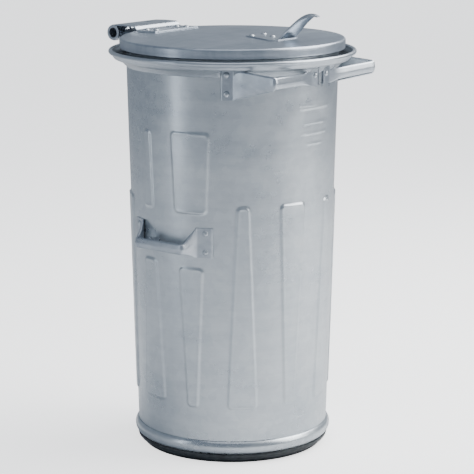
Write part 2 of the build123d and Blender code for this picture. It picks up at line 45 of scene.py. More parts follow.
# ---- Studio -------------------------------------------------------------------------------
# A pale sweep of floor, a soft grey sky all round and four large soft lights.
# The camera stands off the bin's left front, a little above the lid, with a long lens.
CAMERA_BEARING = math.radians(-51)
CAMERA_DISTANCE = 4.077
CAMERA_HEIGHT = 1.295
CAMERA_PITCH = math.radians(12)
LIGHT_AIM_HEIGHT = 0.45
SKY_STRENGTH = 0.60
FLOOR_GLOW = 1.7

camera_data = bpy.data.cameras.new("studio_camera")
camera_data.sensor_width = 36
camera_data.lens = 150.8
camera_data.shift_x = 0.0095
camera_data.shift_y = 0.0042
camera = bpy.data.objects.new("studio_camera", camera_data)
camera.location = (
    CAMERA_DISTANCE * math.sin(CAMERA_BEARING),
    -CAMERA_DISTANCE * math.cos(CAMERA_BEARING),
    CAMERA_HEIGHT,
)
camera.rotation_euler = (math.radians(90) - CAMERA_PITCH, 0, CAMERA_BEARING)
bpy.context.scene.collection.objects.link(camera)
bpy.context.scene.camera = camera


def soft_light(name, bearing, elevation, distance, width, height, power, colour):
    """A rectangular soft light at a bearing round the bin, facing its middle."""
    light = bpy.data.lights.new(name, "AREA")
    light.shape = "RECTANGLE"
    light.size = width
    light.size_y = height
    light.energy = power
    light.color = colour
    holder = bpy.data.objects.new(name, light)
    turn, rise = math.radians(bearing), math.radians(elevation)
    away = Vector((math.sin(turn) * math.cos(rise), -math.cos(turn) * math.cos(rise), math.sin(rise)))
    holder.location = away * distance + Vector((0, 0, LIGHT_AIM_HEIGHT))
    holder.rotation_euler = away.to_track_quat("Z", "Y").to_euler()
    bpy.context.scene.collection.objects.link(holder)


soft_light("key_light", 30, 30, 3.0, 1.8, 2.6, 75, (1.0, 0.985, 0.96))
soft_light("right_wash", 66, 48, 2.8, 2.0, 2.0, 92, (1.0, 0.99, 0.97))
soft_light("side_light", -112, 12, 3.0, 0.5, 2.2, 8, (0.88, 0.94, 1.0))
soft_light("top_light", -51, 80, 3.2, 2.4, 2.4, 22, (0.97, 0.985, 1.0))

world = bpy.data.worlds.new("studio_sky")
world.use_nodes = True
sky_nodes, sky_links = world.node_tree.nodes, world.node_tree.links
sky_nodes.clear()
sky_place = sky_nodes.new("ShaderNodeTexCoord")
sky_split = sky_nodes.new("ShaderNodeSeparateXYZ")
sky_ramp = sky_nodes.new("ShaderNodeValToRGB")
sky_stops = sky_ramp.color_ramp.elements
sky_stops[0].position, sky_stops[0].color = 0.30, (0.80, 0.84, 0.90, 1)
sky_stops[1].position, sky_stops[1].color = 0.98, (0.30, 0.36, 0.46, 1)
for place, colour in ((0.47, (0.72, 0.76, 0.80, 1)), (0.56, (0.50, 0.57, 0.66, 1))):
    sky_stops.new(place).color = colour
sky_back = sky_nodes.new("ShaderNodeBackground")
sky_back.inputs["Strength"].default_value = SKY_STRENGTH
sky_out = sky_nodes.new("ShaderNodeOutputWorld")
sky_map = sky_nodes.new("ShaderNodeMapRange")
sky_map.inputs["From Min"].default_value = -1
sky_links.new(sky_place.outputs["Generated"], sky_split.inputs[0])
sky_links.new(sky_split.outputs["Z"], sky_map.inputs["Value"])
sky_links.new(sky_map.outputs[0], sky_ramp.inputs["Fac"])
sky_links.new(sky_ramp.outputs["Color"], sky_back.inputs["Color"])
sky_paper = sky_nodes.new("ShaderNodeBackground")
sky_paper.inputs["Color"].default_value = (0.97, 0.975, 0.98, 1)
sky_ray = sky_nodes.new("ShaderNodeLightPath")
sky_choice = sky_nodes.new("ShaderNodeMixShader")
sky_links.new(sky_ray.outputs["Is Camera Ray"], sky_choice.inputs[0])
sky_links.new(sky_back.outputs[0], sky_choice.inputs[1])
sky_links.new(sky_paper.outputs[0], sky_choice.inputs[2])
sky_links.new(sky_choice.outputs[0], sky_out.inputs["Surface"])
bpy.context.scene.world = world


def new_piece(name, mesh_builder, body=None, replaced=(), material=None):
    """Turns a bmesh into a named smooth-shaded piece that rides on a body."""
    mesh = bpy.data.meshes.new(name)
    mesh_builder.to_mesh(mesh)
    mesh_builder.free()
    for face in mesh.polygons:
        face.use_smooth = True
    if material:
        mesh.materials.append(material)
    piece = bpy.data.objects.new(name, mesh)
    bpy.context.scene.collection.objects.link(piece)
    if body:
        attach(piece, body)
    if replaced:
        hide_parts(*replaced)
    return piece


floor_mesh = bmesh.new()
bmesh.ops.create_grid(floor_mesh, x_segments=2, y_segments=2, size=14)
floor = new_piece("studio_floor", floor_mesh)
floor_paint = bpy.data.materials.new("floor_paint")
floor_paint.use_nodes = True
floor_shader = floor_paint.node_tree.nodes["Principled BSDF"]
floor_shader.inputs["Base Color"].default_value = (0.93, 0.935, 0.94, 1)
floor_shader.inputs["Roughness"].default_value = 0.9
floor_shader.inputs["Specular IOR Level"].default_value = 0.1
floor_ray = floor_paint.node_tree.nodes.new("ShaderNodeLightPath")
floor_lift = floor_paint.node_tree.nodes.new("ShaderNodeMath")
floor_lift.operation = "MULTIPLY"
floor_lift.inputs[1].default_value = FLOOR_GLOW
floor_shader.inputs["Emission Color"].default_value = (1, 1, 1, 1)
floor_paint.node_tree.links.new(floor_ray.outputs["Is Camera Ray"], floor_lift.inputs[0])
floor_paint.node_tree.links.new(floor_lift.outputs[0], floor_shader.inputs["Emission Strength"])
floor.data.materials.append(floor_paint)


# ---- Zinc coating -------------------------------------------------------------------------
# Every steel piece is hot-dip galvanised: grey zinc that froze in crystals a centimetre wide,
# with cloudy bloom, faint rolling streaks under it and a slight waviness of the sheet.
def zinc_group():
    """Node group: zinc colour, roughness and surface height from object coordinates."""
    group = bpy.data.node_groups.new("zinc_coating", "ShaderNodeTree")
    face = group.interface
    face.new_socket("Place", in_out="INPUT", socket_type="NodeSocketVector")
    face.new_socket("Streak Place", in_out="INPUT", socket_type="NodeSocketVector")
    face.new_socket("Light Zinc", in_out="INPUT", socket_type="NodeSocketColor")
    face.new_socket("Dark Zinc", in_out="INPUT", socket_type="NodeSocketColor")
    face.new_socket("Crystal Scale", in_out="INPUT", socket_type="NodeSocketFloat")
    face.new_socket("Smooth", in_out="INPUT", socket_type="NodeSocketFloat")
    face.new_socket("Dull", in_out="INPUT", socket_type="NodeSocketFloat")
    face.new_socket("Color", in_out="OUTPUT", socket_type="NodeSocketColor")
    face.new_socket("Roughness", in_out="OUTPUT", socket_type="NodeSocketFloat")
    face.new_socket("Height", in_out="OUTPUT", socket_type="NodeSocketFloat")
    n, link = group.nodes, group.links.new
    source, result = n.new("NodeGroupInput"), n.new("NodeGroupOutput")

    warp = n.new("ShaderNodeTexNoise")
    warp.inputs["Scale"].default_value = 45
    warp.inputs["Detail"].default_value = 3
    link(source.outputs["Place"], warp.inputs["Vector"])
    bend = n.new("ShaderNodeVectorMath")
    bend.operation = "MULTIPLY_ADD"
    bend.inputs[1].default_value = (0.012, 0.012, 0.012)
    link(warp.outputs["Color"], bend.inputs[0])
    link(source.outputs["Place"], bend.inputs[2])
    crystals = n.new("ShaderNodeTexVoronoi")
    crystals.inputs["Randomness"].default_value = 1.0
    link(bend.outputs[0], crystals.inputs["Vector"])
    link(source.outputs["Crystal Scale"], crystals.inputs["Scale"])
    tone = n.new("ShaderNodeSeparateColor")
    link(crystals.outputs["Color"], tone.inputs[0])

    bloom = n.new("ShaderNodeTexNoise")
    bloom.inputs["Scale"].default_value = 7
    bloom.inputs["Detail"].default_value = 6
    bloom.inputs["Roughness"].default_value = 0.62
    link(source.outputs["Place"], bloom.inputs["Vector"])
    streak = n.new("ShaderNodeTexNoise")
    streak.inputs["Scale"].default_value = 1
    streak.inputs["Detail"].default_value = 5
    streak.inputs["Roughness"].default_value = 0.7
    link(source.outputs["Streak Place"], streak.inputs["Vector"])

    def weigh(value, amount, extra):
        """value times amount plus extra."""
        step = n.new("ShaderNodeMath")
        step.operation = "MULTIPLY_ADD"
        link(value, step.inputs[0])
        step.inputs[1].default_value = amount
        if isinstance(extra, float):
            step.inputs[2].default_value = extra
        else:
            link(extra, step.inputs[2])
        return step.outputs[0]

    mixed = weigh(tone.outputs[0], 0.12, -0.21)
    mixed = weigh(bloom.outputs["Fac"], 0.75, mixed)
    mixed = weigh(streak.outputs["Fac"], 0.70, mixed)
    colour = n.new("ShaderNodeMix")
    colour.data_type = "RGBA"
    link(mixed, colour.inputs["Factor"])
    link(source.outputs["Dark Zinc"], colour.inputs["A"])
    link(source.outputs["Light Zinc"], colour.inputs["B"])
    link(colour.outputs["Result"], result.inputs["Color"])

    fine = n.new("ShaderNodeTexNoise")
    fine.inputs["Scale"].default_value = 420
    fine.inputs["Detail"].default_value = 2
    link(source.outputs["Place"], fine.inputs["Vector"])
    dulling = weigh(tone.outputs[1], 0.12, -0.085)
    dulling = weigh(bloom.outputs["Fac"], 0.8, dulling)
    dulling = weigh(streak.outputs["Fac"], 0.3, dulling)
    rough = n.new("ShaderNodeMapRange")
    link(dulling, rough.inputs["Value"])
    link(source.outputs["Smooth"], rough.inputs["To Min"])
    link(source.outputs["Dull"], rough.inputs["To Max"])
    link(rough.outputs[0], result.inputs["Roughness"])

    wave = n.new("ShaderNodeTexNoise")
    wave.inputs["Scale"].default_value = 14
    wave.inputs["Detail"].default_value = 2
    link(source.outputs["Place"], wave.inputs["Vector"])
    height = weigh(fine.outputs["Fac"], 0.02, 0.0)
    height = weigh(tone.outputs[2], 0.02, height)
    height = weigh(streak.outputs["Fac"], 0.16, height)
    height = weigh(wave.outputs["Fac"], 0.9, height)
    link(height, result.inputs["Height"])
    return group


ZINC = zinc_group()


def zinc_material(name, light, dark, smooth, dull, crystal_scale, streak_scale, bump):
    """A galvanised finish: two greys, a roughness range, crystal size and streak direction."""
    material = bpy.data.materials.new(name)
    material.use_nodes = True
    n, link = material.node_tree.nodes, material.node_tree.links.new
    shader = n["Principled BSDF"]
    place = n.new("ShaderNodeTexCoord")
    stretch = n.new("ShaderNodeMapping")
    stretch.inputs["Scale"].default_value = streak_scale
    link(place.outputs["Object"], stretch.inputs["Vector"])
    zinc = n.new("ShaderNodeGroup")
    zinc.node_tree = ZINC
    link(place.outputs["Object"], zinc.inputs["Place"])
    link(stretch.outputs[0], zinc.inputs["Streak Place"])
    zinc.inputs["Light Zinc"].default_value = (*light, 1)
    zinc.inputs["Dark Zinc"].default_value = (*dark, 1)
    zinc.inputs["Crystal Scale"].default_value = crystal_scale
    zinc.inputs["Smooth"].default_value = smooth
    zinc.inputs["Dull"].default_value = dull
    link(zinc.outputs["Color"], shader.inputs["Base Color"])
    link(zinc.outputs["Roughness"], shader.inputs["Roughness"])
    relief = n.new("ShaderNodeBump")
    relief.inputs["Strength"].default_value = 1.0
    relief.inputs["Distance"].default_value = bump
    link(zinc.outputs["Height"], relief.inputs["Height"])
    link(relief.outputs[0], shader.inputs["Normal"])
    shader.inputs["Metallic"].default_value = 0.88
    shader.inputs["Specular IOR Level"].default_value = 0.5
    return material


BODY_ZINC = zinc_material(
    "body_zinc", (0.74, 0.78, 0.80), (0.36, 0.41, 0.47), 0.17, 0.42, 75, (3, 3, 26), 0.0012
)
LID_ZINC = zinc_material(
    "lid_zinc", (0.58, 0.63, 0.69), (0.24, 0.29, 0.36), 0.20, 0.44, 75, (2, 38, 3), 0.0010
)
FITTING_ZINC = zinc_material(
    "fitting_zinc", (0.66, 0.70, 0.74), (0.28, 0.33, 0.40), 0.18, 0.42, 90, (20, 20, 60), 0.0006
)
RIVET_ZINC = zinc_material(
    "rivet_zinc", (0.62, 0.66, 0.69), (0.34, 0.38, 0.43), 0.22, 0.42, 300, (90, 90, 90), 0.0003
)


def finish_node(node, material):
    """Gives a carried-over node its finish."""
    mesh = nodes[node].data
    mesh.materials.clear()
    mesh.materials.append(material)


FINISHES = {
    "galvanised_body": BODY_ZINC,
    "galvanised_lid": LID_ZINC,
    "galvanised_fittings": FITTING_ZINC,
    "steel_rivets": RIVET_ZINC,
}
for row in frame["record"]["subparts"]:
    if row["material_slot"] in FINISHES:
        finish_node(row["node"], FINISHES[row["material_slot"]])


# ---- Body wall ----------------------------------------------------------------------------
# The bin's wall is one rolled and welded steel sheet, slightly tapered, with tall stiffening panels
# pressed outwards, a small blank stamp field at the front and a wired rim. Galvanised after welding.
WALL_REF = 0.1995
PANEL_PITCH = 29.25
PANEL_START = -1.4
PANEL_RAISE = 0.0026
PANEL_CREST = 0.0006
PANEL_RAMP = 0.0036
TALL = [(0.115, 0.538, 0.027, 0.063)]
TALL_UPSIDE = [(0.115, 0.538, 0.063, 0.027)]
SPLIT_WIDE = [(0.116, 0.410, 0.025, 0.055), (0.5195, 0.686, 0.072, 0.0876)]
SPLIT_NARROW = [(0.121, 0.418, 0.074, 0.042), (0.522, 0.682, 0.033, 0.023)]
SPLIT_COLUMNS = (-4, -3, 2, 3)
STAMP_BARS = [
    (0.728, 0.096, 0.009), (0.697, 0.064, 0.007), (0.676, 0.082, 0.007), (0.655, 0.050, 0.007),
]
SEAM_BEARING = 178.6


def wall_radius(z):
    """Outer radius of the tapered wall at height z."""
    return WALL_REF + 0.02558 * (z - 0.061)


def soft_step(value):
    """0 below 0, 1 above 1, a smooth rise between."""
    value = min(max(value, 0.0), 1.0)
    return value * value * (3 - 2 * value)


def inside_depth(across, along, half_across, half_along, corner):
    """How far a point lies inside a rounded rectangle."""
    x = abs(across) - half_across + corner
    y = abs(along) - half_along + corner
    return corner - math.hypot(max(x, 0), max(y, 0)) - min(max(x, y), 0)


def column_panels(column):
    """(low z, high z, low width, high width) of each panel in a column."""
    wide_top = column % 2 == 1
    if column in SPLIT_COLUMNS:
        return SPLIT_WIDE if wide_top else SPLIT_NARROW
    return TALL if wide_top else TALL_UPSIDE


def wall_relief(bearing, z):
    """Outward height of the panels, stamp bars, weld seam and waviness at a spot of the wall."""
    column = math.floor((bearing - PANEL_START) / PANEL_PITCH)
    rise = 0.0
    if -6 <= column < 6:
        middle = PANEL_START + (column + 0.5) * PANEL_PITCH
        across = wall_radius(z) * math.radians(bearing - middle)
        for low, high, low_width, high_width in column_panels(column):
            share = min(max((z - low) / (high - low), 0), 1)
            half = (low_width + share * (high_width - low_width)) / 2
            corner = min(0.011, 0.4 * min(low_width, high_width))
            depth = inside_depth(across, z - (low + high) / 2, half, (high - low) / 2, corner)
            rise += PANEL_RAISE * soft_step(depth / PANEL_RAMP)
            rise += PANEL_CREST * math.exp(-(((depth - PANEL_RAMP) / 0.0028) ** 2))
    for middle_z, length, height in STAMP_BARS:
        across = wall_radius(z) * math.radians(bearing + 1.0)
        depth = inside_depth(across, z - middle_z, length / 2, height / 2, height * 0.45)
        rise += 0.0005 * soft_step(depth / 0.0030)
    seam = abs(bearing - SEAM_BEARING) * math.radians(wall_radius(z))
    rise += 0.0009 * (1 - soft_step(seam / 0.004))
    wave = noise.noise(Vector((bearing * 0.055, z * 5.0, 3.7)))
    fine_wave = noise.noise(Vector((bearing * 0.16, z * 13.0, 9.1)))
    return rise + 0.00042 * wave + 0.00014 * fine_wave


def wall_rows(coarse, fine, fine_bands, low, high):
    """Heights of the wall's rows: close together in the fine bands, wide apart elsewhere."""
    rows, z = [], low
    while z < high:
        rows.append(z)
        z += fine if any(start <= z < end for start, end in fine_bands) else coarse
        for start, end in fine_bands:
            if rows[-1] < start < z:
                z = start
    return rows + [high]


def spin_line(builder, points, steps, closed=False):
    """Spins a line of (radius, z) points round the bin's axis."""
    verts = [builder.verts.new((0, -r, z)) for r, z in points]
    edges = [builder.edges.new(pair) for pair in zip(verts, verts[1:])]
    if closed:
        edges.append(builder.edges.new((verts[-1], verts[0])))
    bmesh.ops.spin(
        builder, geom=verts + edges, cent=(0, 0, 0), axis=(0, 0, 1), angle=math.tau,
        steps=steps, use_merge=True,
    )
    bmesh.ops.remove_doubles(builder, verts=builder.verts, dist=1e-6)


def bearing_of(place):
    """Bearing of a place round the bin, in degrees from the front towards +X."""
    return math.degrees(math.atan2(place.x, -place.y))


def wall_skin(steps, rows, inset):
    """One face of the wall with its relief, as a bmesh."""
    builder = bmesh.new()
    spin_line(builder, [(wall_radius(z) - inset, z) for z in rows], steps)
    for vert in builder.verts:
        bearing = bearing_of(vert.co)
        radius = wall_radius(vert.co.z) - inset + wall_relief(bearing, vert.co.z)
        level = Vector((vert.co.x, vert.co.y, 0)).normalized() * radius
        vert.co = level + Vector((0, 0, vert.co.z))
    return builder


FINE_BANDS = [(0.109, 0.131), (0.398, 0.422), (0.512, 0.545), (0.645, 0.738)]
outer_rows = wall_rows(0.014, 0.0022, FINE_BANDS, 0.012, 0.8496)
wall_builder = wall_skin(560, outer_rows, 0)
bmesh.ops.recalc_face_normals(wall_builder, faces=wall_builder.faces)
inner_builder = wall_skin(224, wall_rows(0.016, 0.006, FINE_BANDS, 0.012, 0.8496), 0.0014)
bmesh.ops.recalc_face_normals(inner_builder, faces=inner_builder.faces)
bmesh.ops.reverse_faces(inner_builder, faces=inner_builder.faces)
inner_mesh = bpy.data.meshes.new("wall_inner_face")
inner_builder.to_mesh(inner_mesh)
inner_builder.free()
wall_builder.from_mesh(inner_mesh)
bpy.data.meshes.remove(inner_mesh)
new_piece("body_wall_skin", wall_builder, "bin", ["body_shell"], BODY_ZINC)


def round_line(centre_radius, centre_z, radius, count):
    """A round wire's section as (radius, z) points."""
    turns = [math.tau * i / count for i in range(count)]
    return [(centre_radius + radius * math.cos(a), centre_z + radius * math.sin(a)) for a in turns]


def spun_piece(name, points, steps, body, replaced, material):
    """A closed section spun right round the bin's axis."""
    builder = bmesh.new()
    spin_line(builder, points, steps, closed=True)
    bmesh.ops.recalc_face_normals(builder, faces=builder.faces)
    return new_piece(name, builder, body, replaced, material)


rim_bead = round_line(wall_radius(0.8496) - 0.0007, 0.8496, 0.0029, 14)
spun_piece("body_rim_bead", rim_bead, 180, "bin", [], BODY_ZINC)


# ---- Foot: bottom hoop, base pan and rubber ring ------------------------------------------
# A rolled half-round hoop stiffens the wall's foot and the dished base pan is pressed in behind it.
# The bin stands on a moulded black rubber ring pushed over the wall's lower edge.
def arc_line(start, middle, end, count):
    """Points on the arc through three (radius, z) points."""
    (ax, ay), (bx, by), (cx, cy) = start, middle, end
    d = 2 * (ax * (by - cy) + bx * (cy - ay) + cx * (ay - by))
    a2, b2, c2 = ax * ax + ay * ay, bx * bx + by * by, cx * cx + cy * cy
    ux = (a2 * (by - cy) + b2 * (cy - ay) + c2 * (ay - by)) / d
    uy = (a2 * (cx - bx) + b2 * (ax - cx) + c2 * (bx - ax)) / d
    first = math.atan2(ay - uy, ax - ux)
    last = math.atan2(cy - uy, cx - ux)
    radius = math.hypot(ax - ux, ay - uy)
    turns = [first + (last - first) * i / count for i in range(count + 1)]
    return [(ux + radius * math.cos(a), uy + radius * math.sin(a)) for a in turns]


HOOP_LOW, HOOP_HIGH = 0.0204, 0.048
hoop_outer = arc_line(
    (wall_radius(HOOP_LOW), HOOP_LOW), (0.2066, 0.0342), (wall_radius(HOOP_HIGH), HOOP_HIGH), 14
)
hoop_inner = arc_line((0.1984, 0.0455), (0.2051, 0.0342), (0.1978, 0.0229), 10)
spun_piece(
    "bottom_hoop_roll", hoop_outer + hoop_inner, 220, "bin", ["bottom_hoop"],
    BODY_ZINC,
)

RING_LINE = [
    (0.1766, 0.0008), (0.1774, 0.0), (0.1881, 0.0), (0.1888, 0.0007), (0.1888, 0.0040),
    (0.1976, 0.0098),
    (0.2003, 0.0132), (0.2010, 0.0163), (0.2010, 0.0192), (0.2004, 0.0199), (0.1986, 0.0200),
    (0.1984, 0.0122), (0.1970, 0.0118), (0.1966, 0.0198), (0.1912, 0.0238), (0.1822, 0.0162),
]
rubber = bpy.data.materials.new("foot_rubber")
rubber.use_nodes = True
rubber_nodes, rubber_link = rubber.node_tree.nodes, rubber.node_tree.links.new
rubber_shader = rubber_nodes["Principled BSDF"]
rubber_place = rubber_nodes.new("ShaderNodeTexCoord")
rubber_grain = rubber_nodes.new("ShaderNodeTexNoise")
rubber_grain.inputs["Scale"].default_value = 60
rubber_grain.inputs["Detail"].default_value = 8
rubber_ramp = rubber_nodes.new("ShaderNodeValToRGB")
rubber_ramp.color_ramp.elements[0].position = 0.35
rubber_ramp.color_ramp.elements[0].color = (0.012, 0.016, 0.020, 1)
rubber_ramp.color_ramp.elements[1].position = 0.75
rubber_ramp.color_ramp.elements[1].color = (0.045, 0.055, 0.062, 1)
rubber_bump = rubber_nodes.new("ShaderNodeBump")
rubber_bump.inputs["Distance"].default_value = 0.0004
rubber_link(rubber_place.outputs["Object"], rubber_grain.inputs["Vector"])
rubber_link(rubber_grain.outputs["Fac"], rubber_ramp.inputs["Fac"])
rubber_link(rubber_ramp.outputs["Color"], rubber_shader.inputs["Base Color"])
rubber_link(rubber_grain.outputs["Fac"], rubber_bump.inputs["Height"])
rubber_link(rubber_bump.outputs[0], rubber_shader.inputs["Normal"])
rubber_shader.inputs["Roughness"].default_value = 0.5
spun_piece("foot_ring_moulding", RING_LINE, 200, "bin", ["rubber_foot_ring"], rubber)
finish_node("rubber_foot_ring", rubber)


# ---- Collar -------------------------------------------------------------------------------
# The collar is a rolled channel welded round the wall's top: a flared skirt, a level trough and an
# outer lip curled over a wire. It catches the lid's rim and stiffens the mouth. Galvanised steel.
LIP_RADIUS, LIP_Z, LIP_ROLL = 0.2508, 0.8260, 0.0044
collar_outer = [
    (0.2187, 0.7962), (0.2196, 0.7972), (0.2262, 0.8036), (0.2283, 0.8062), (0.2304, 0.8078),
    (0.2345, 0.8096), (0.2415, 0.8118), (0.2441, 0.8130), (0.2464, 0.8160), (0.2490, 0.8205),
]
lip_turns = [math.radians(-70 + 235 * i / 16) for i in range(17)]
collar_lip = [
    (LIP_RADIUS + LIP_ROLL * math.cos(a), LIP_Z + LIP_ROLL * math.sin(a)) for a in lip_turns
]
collar_inner = [
    (0.2474, 0.8215), (0.2450, 0.8172), (0.2432, 0.8146), (0.2408, 0.8134), (0.2340, 0.8112),
    (0.2300, 0.8096), (0.2272, 0.8072), (0.2187, 0.7990),
]
COLLAR_ZINC = zinc_material(
    "collar_zinc", (0.60, 0.64, 0.68), (0.36, 0.41, 0.47), 0.20, 0.42, 75, (5, 5, 60), 0.0009
)
HANDLE_FLANGE_SPOTS = (-54.05, -2.75, 7.35, 58.65)


def collar_piece():
    """The spun collar, set back where the upper handles' flanges pass in front of its skirt."""
    builder = bmesh.new()
    spin_line(builder, collar_outer + collar_lip + collar_inner, 480, closed=True)
    for vert in builder.verts:
        bearing, z = bearing_of(vert.co), vert.co.z
        if z < 0.8126 and any(abs(bearing - spot) < 3.6 for spot in HANDLE_FLANGE_SPOTS):
            radius = min(math.hypot(vert.co.x, vert.co.y), wall_radius(z) + 0.0004)
            level = Vector((vert.co.x, vert.co.y, 0)).normalized() * radius
            vert.co = level + Vector((0, 0, z))
    bmesh.ops.recalc_face_normals(builder, faces=builder.faces)
    # Painted shade: a vertex colour layer marks the trough between skirt and lip, fully on upward faces
    # and a quarter on downward ones, to darken it as the shade under the lid.
    painted_trough_shade = builder.verts.layers.float_color.new("painted_trough_shade")
    for vert in builder.verts:
        radius = math.hypot(vert.co.x, vert.co.y)
        deep = soft_step((radius - 0.2200) / 0.006) * soft_step((0.2475 - radius) / 0.004)
        depth = deep if vert.normal.z > 0 else 0.25 * deep
        vert[painted_trough_shade] = (depth, depth, depth, 1)
    return new_piece("collar_rolling", builder, "bin", ["collar_ring"], COLLAR_ZINC)


# Painted shade: the trough's vertex layer mixes the collar's zinc colour towards near-black, standing in
# for the shade in the gap under the lid.
collar_shader = COLLAR_ZINC.node_tree.nodes["Principled BSDF"]
collar_tone = collar_shader.inputs["Base Color"].links[0].from_socket
trough_shade_attribute = COLLAR_ZINC.node_tree.nodes.new("ShaderNodeAttribute")
trough_shade_attribute.attribute_name = "painted_trough_shade"
trough_shade_mix = COLLAR_ZINC.node_tree.nodes.new("ShaderNodeMix")
trough_shade_mix.data_type = "RGBA"
trough_shade_mix.inputs["B"].default_value = (0.020, 0.023, 0.028, 1)
COLLAR_ZINC.node_tree.links.new(trough_shade_attribute.outputs["Fac"], trough_shade_mix.inputs["Factor"])
COLLAR_ZINC.node_tree.links.new(collar_tone, trough_shade_mix.inputs["A"])
COLLAR_ZINC.node_tree.links.new(trough_shade_mix.outputs["Result"], collar_shader.inputs["Base Color"])
collar_piece()


# ---- Handles ------------------------------------------------------------------------------
# Each handle is pressed from thick strip: flat flanges riveted to the wall and a bow with its edges
# turned in, so that it is round to the hand. The two upper ones mirror each other. Galvanised.
HANDLE_SHEET = 0.0026
UPPER = {
    "ends": (28.7, 22.6),
    "corners": [(0.0330, 0.2960)],
    "round": 0.010,
    "top": 0.812,
    "by_reach": False,
    "low": [
        (-0.112, 0.772), (-0.084, 0.772), (-0.062, 0.776), (0.030, 0.781), (0.084, 0.752), (0.112, 0.752),
    ],
    "high": [
        (-0.112, 0.812), (-0.086, 0.812), (-0.066, 0.800), (0.028, 0.804), (0.084, 0.812), (0.112, 0.812),
    ],
    "rivets": [(25.7, 0.7645), (25.7, 0.8025), (-25.7, 0.793)],
}
MIDDLE = {
    "ends": (28.3, 19.6),
    "corners": [(0.064, 0.240), (-0.064, 0.240)],
    "round": 0.009,
    "top": 0.493,
    "by_reach": True,
    "low": [(0.150, 0.433), (0.2031, 0.433), (0.231, 0.442), (0.245, 0.442)],
    "high": [(0.150, 0.493), (0.2031, 0.493), (0.231, 0.464), (0.245, 0.464)],
    "rivets": [(turn, z) for turn in (-24.25, 24.25) for z in (0.4442, 0.4823)],
}
HANDLES = {
    "upper_handle_left": (-28.4, 1, UPPER),
    "upper_handle_right": (33.0, -1, UPPER),
    "middle_handle_left": (-90.0, 1, MIDDLE),
    "middle_handle_right": (90.0, 1, MIDDLE),
}


def level_at(line, key):
    """Height of a line of (key, z) points at a key."""
    for (a, low), (b, high) in zip(line, line[1:]):
        if key <= b:
            return low + (high - low) * min(max((key - a) / (b - a), 0), 1)
    return line[-1][1]


def eased_route(points, rounds, count):
    """Points along a plan route with its inner corners rounded off."""
    route = [points[0]]
    for before, here, after, bend in zip(points, points[1:], points[2:], rounds):
        start = here + (before - here).normalized() * bend
        end = here + (after - here).normalized() * bend
        for i in range(count + 1):
            t = i / count
            route.append(start * (1 - t) ** 2 + here * (2 * t * (1 - t)) + end * t * t)
    return route + [points[-1]]


def spread(route, gap):
    """The route with long straight runs divided so that no step is longer than gap."""
    filled = [route[0]]
    for here, there in zip(route, route[1:]):
        parts = max(1, math.ceil((there - here).length / gap))
        filled += [here.lerp(there, (i + 1) / parts) for i in range(parts)]
    return filled


def bow_section(low, high, open_share):
    """Closed section of the strip as (outward offset, z) points: flat at open_share 0, turned in at 1."""
    tall = high - low
    lip = 0.0062 * open_share
    crease = 0.0016 * open_share
    edge = min(0.0042, tall * 0.2)
    face = [
        (-lip - crease, low + 0.0010 * open_share),
        (-lip * 0.45 - crease, low + 0.0001),
        (-crease * 1.3, low + edge * 0.35),
        (-crease * 0.8, low + edge),
        (-crease * 0.25, low + tall * 0.36),
        (0.0, low + tall * 0.50),
        (-crease * 0.35, low + tall * 0.62),
        (-crease * 0.9, high - edge),
        (-crease * 1.4, high - edge * 0.35),
        (-lip * 0.45 - crease, high - 0.0001),
        (-lip - crease, high - 0.0010 * open_share),
    ]
    wall = HANDLE_SHEET * 0.9
    middle = (low + high) / 2
    squeeze = 1 - 2 * wall * open_share / tall
    back = [
        (
            min(offset, -lip * 0.999 - crease) if i in (0, 10) else offset - wall,
            middle + (z - middle) * squeeze,
        )
        for i, (offset, z) in enumerate(face)
    ]
    back[0] = (face[0][0] - wall * (1 - open_share), back[0][1])
    back[10] = (face[10][0] - wall * (1 - open_share), back[10][1])
    return face + back[::-1]


def handle_bow(name, bearing, hand, form):
    """A pressed handle: sections of the strip set along its plan route and bridged."""
    turn = math.radians(bearing)
    out = Vector((math.sin(turn), -math.cos(turn), 0))
    side = Vector((-math.cos(turn), -math.sin(turn), 0)) * hand
    face_radius = wall_radius(form["top"]) + HANDLE_SHEET
    ends = [math.radians(angle) for angle in form["ends"]]
    half = [Vector((face_radius * math.sin(a), face_radius * math.cos(a))) for a in ends]
    corners = [Vector(corner) for corner in form["corners"]]
    points = half + corners + [Vector((-p.x, p.y)) for p in reversed(half)]
    rounds = [0.003] + [form["round"]] * len(corners) + [0.003]
    route = spread(eased_route(points, rounds, 7), 0.006)
    builder = bmesh.new()
    loops = []
    for index, place in enumerate(route):
        before, after = route[max(index - 1, 0)], route[min(index + 1, len(route) - 1)]
        along = (after - before).normalized()
        normal = Vector((along.y, -along.x))
        if normal.dot(Vector((0, 1))) < 0 and abs(normal.y) > 0.2:
            normal = -normal
        if normal.dot(place) < 0:
            normal = -normal
        key = place.y if form["by_reach"] else place.x
        low, high = level_at(form["low"], key), level_at(form["high"], key)
        away = place.length - face_radius
        share = soft_step((away - 0.001) / 0.016)
        ring = []
        for offset, z in bow_section(low, high, share):
            flat = place + normal * offset
            ring.append(builder.verts.new(side * flat.x + out * flat.y + Vector((0, 0, z))))
        loops.append([builder.edges.new((a, b)) for a, b in zip(ring, ring[1:] + ring[:1])])
    for first, second in zip(loops, loops[1:]):
        bmesh.ops.bridge_loops(builder, edges=first + second)
    for end in (loops[0], loops[-1]):
        bmesh.ops.contextual_create(builder, geom=end)
    bmesh.ops.recalc_face_normals(builder, faces=builder.faces)
    return new_piece(f"{name}_pressing", builder, "bin", [name], FITTING_ZINC)


DOME_LINE = [
    (0.0, 0.0034), (0.0022, 0.0032), (0.0042, 0.0024), (0.0056, 0.0011), (0.0062, 0.0001), (0.0062, 0.0),
]


